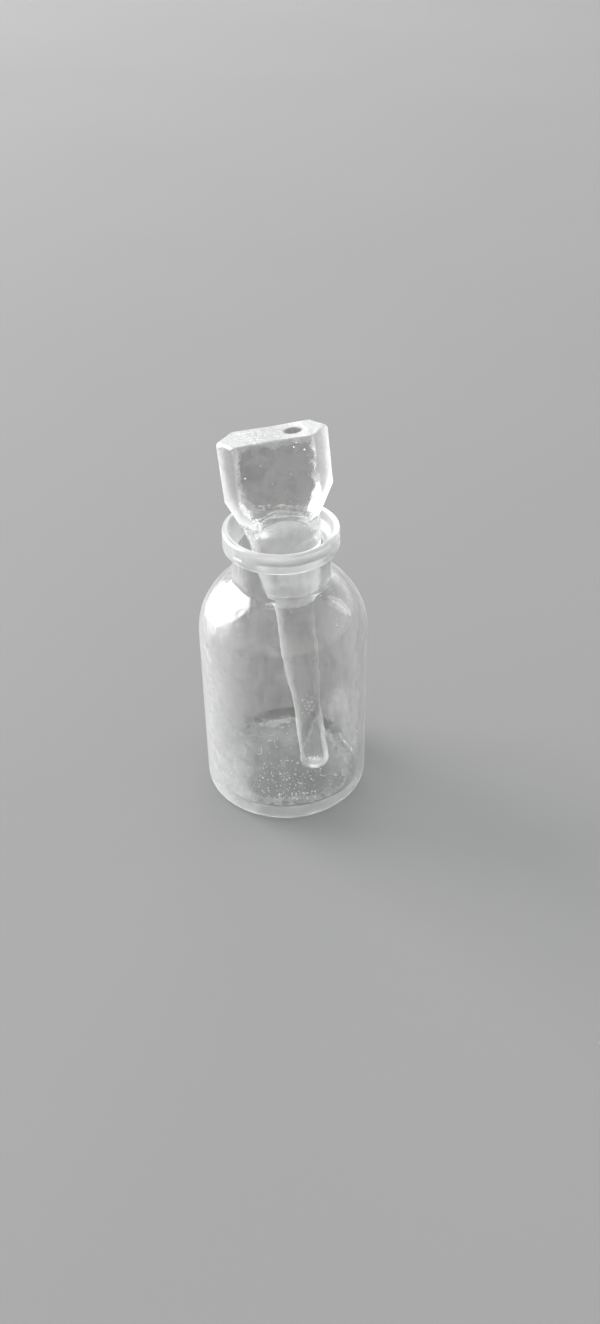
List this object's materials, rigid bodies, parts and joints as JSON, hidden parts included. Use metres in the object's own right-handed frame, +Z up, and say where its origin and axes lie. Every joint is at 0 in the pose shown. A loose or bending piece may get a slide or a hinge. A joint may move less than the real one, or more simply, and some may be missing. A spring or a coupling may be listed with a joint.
{
  "type": "dropper bottle",
  "caption": "Small clear glass dropper bottle: round bottle with a flanged lip, and a loose ground stopper with a flat hexagonal grip that carries a solid glass dropping rod.",
  "frame": {"origin": "centre of the bottle's base, on the surface that it stands on", "axes": "+Z up along the bottle's axis, -Y the front, where one flat face of the stopper's grip looks; the stopper leans towards -X and a little towards +Y"},
  "size_m": [0.036, 0.036, 0.0861],
  "materials": {
    "bottle_glass": "gloss",
    "stopper_glass": "gloss"
  },
  "bodies": {
    "bottle": {"bottle": "bottle_glass"},
    "dropping_rod": {"dropping_rod": "stopper_glass"},
    "stopper": {"stopper": "stopper_glass"}
  },
  "joints": [
    {"name": "stopper_lift", "type": "slide", "parent": "bottle", "child": "dropping_rod", "axis": [-0.0991, 0.0729, 0.9924], "range_m": [0, 0.07]},
    {"name": "stopper_turn", "type": "hinge", "parent": "dropping_rod", "child": "stopper", "pos_m": [0.0006, 0, 0.065], "axis": [-0.0991, 0.0729, 0.9924], "continuous": true}
  ]
}
